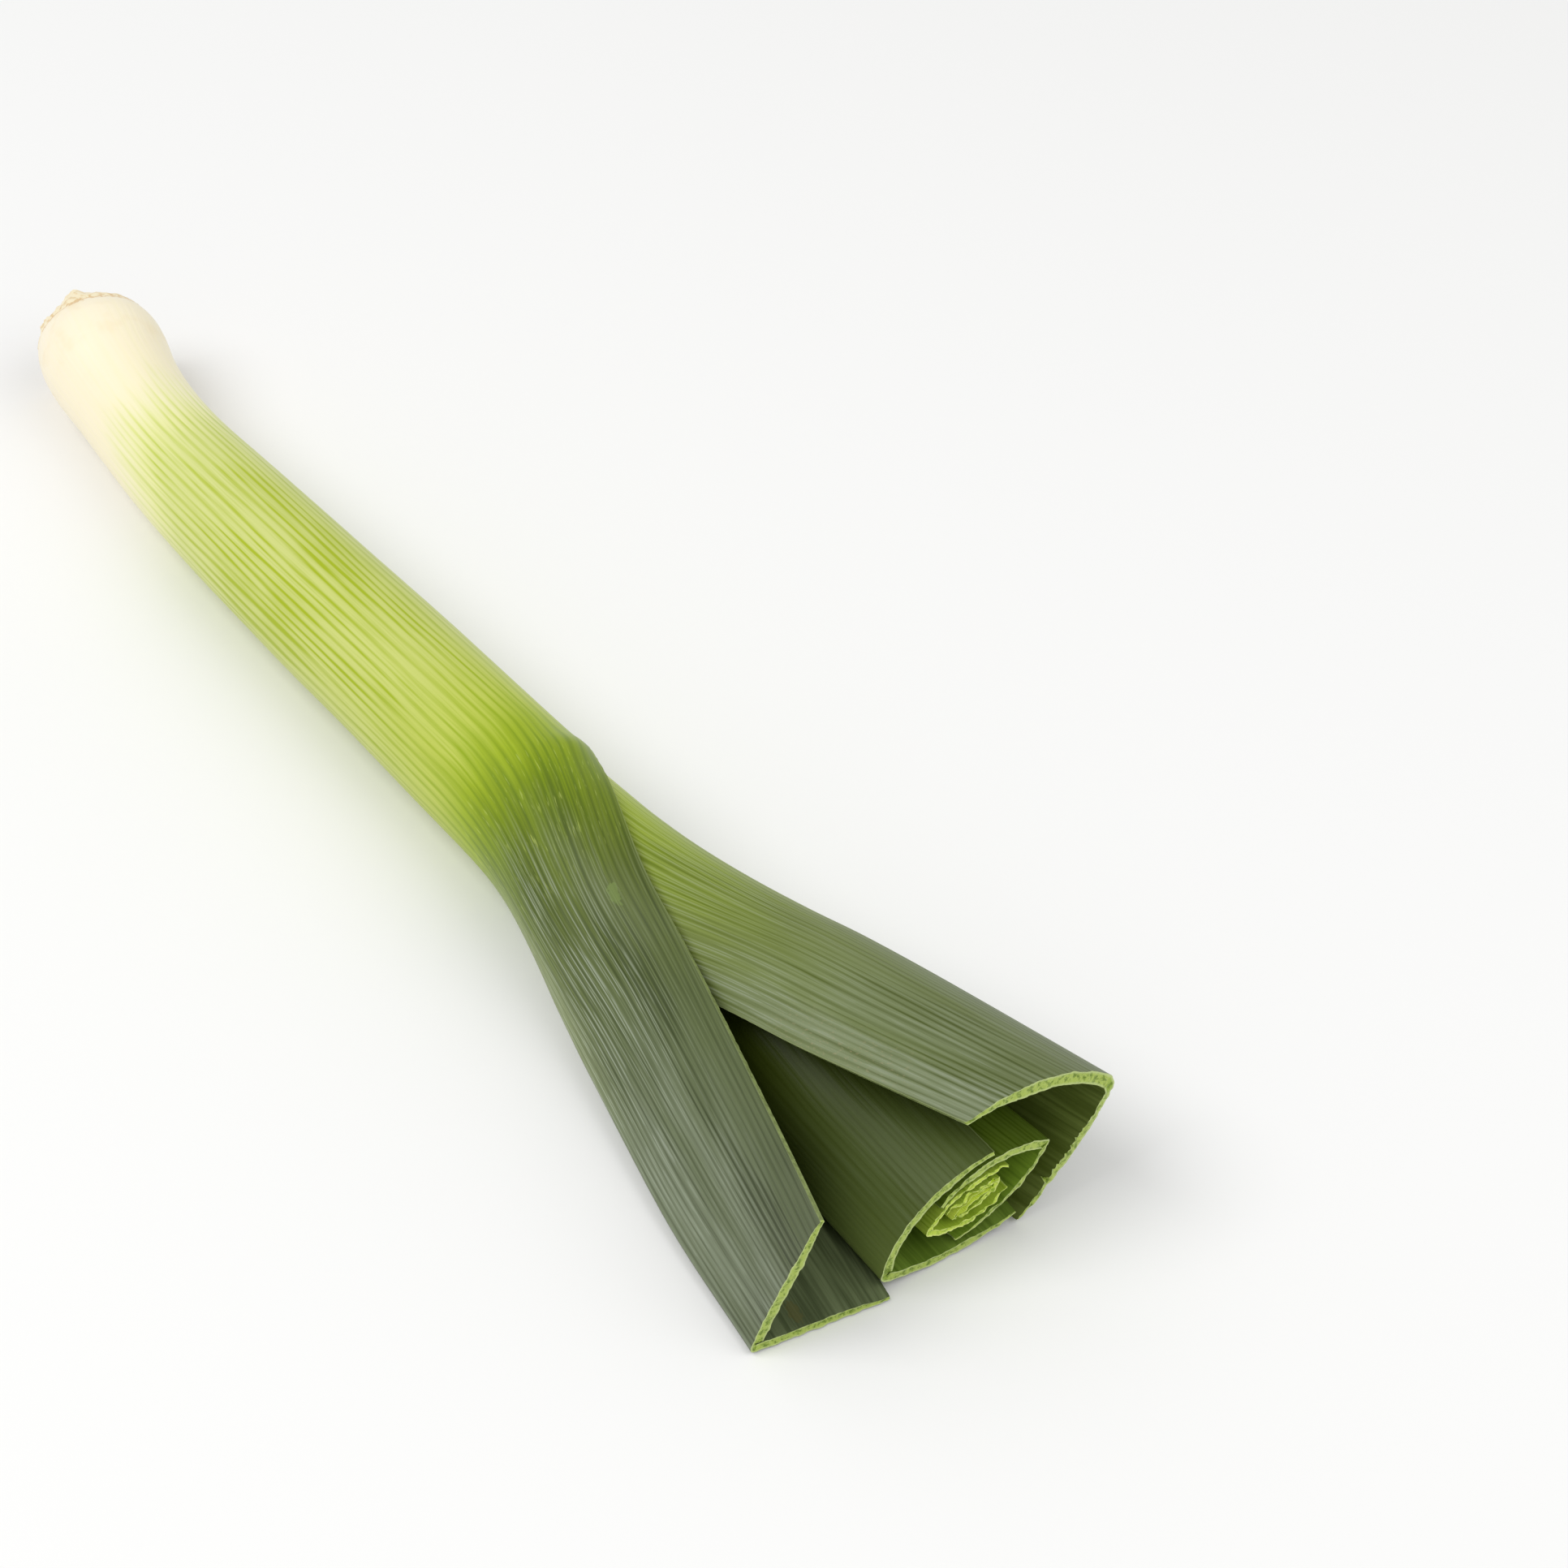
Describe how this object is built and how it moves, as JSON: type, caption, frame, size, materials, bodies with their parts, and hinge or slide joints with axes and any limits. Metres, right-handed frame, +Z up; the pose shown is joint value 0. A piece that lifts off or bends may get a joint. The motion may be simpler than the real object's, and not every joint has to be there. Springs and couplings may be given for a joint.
{
  "type": "leek",
  "caption": "Whole trimmed leek lying on its side: pale round shaft with sliced root end, and folded green leaves fanned out flat and cut square.",
  "frame": {"origin": "middle of the leek's bounding box, on the surface that it lies on", "axes": "+X along the shaft from the root end to the cut leaf ends, +Y across the fan towards the raised keels, +Z up from the surface"},
  "size_m": [0.3394, 0.0786, 0.0402],
  "materials": {
    "root_plate": "dry fibrous cream and tan",
    "outer_leaf": "waxy semi-matte leaf, white at the bulb to dark blue-green at the cut",
    "second_leaf": "waxy semi-matte leaf with a grey bloom",
    "third_leaf": "waxy semi-matte leaf",
    "fourth_leaf": "waxy semi-matte leaf",
    "fifth_leaf": "smooth young leaf",
    "sixth_leaf": "smooth young leaf",
    "heart": "moist pale lime heart"
  },
  "bodies": {
    "root": {"root_plate": "root_plate", "outer_leaf": "outer_leaf", "second_leaf": "second_leaf", "third_leaf": "third_leaf", "fourth_leaf": "fourth_leaf", "fifth_leaf": "fifth_leaf", "sixth_leaf": "sixth_leaf", "heart": "heart"}
  },
  "joints": []
}
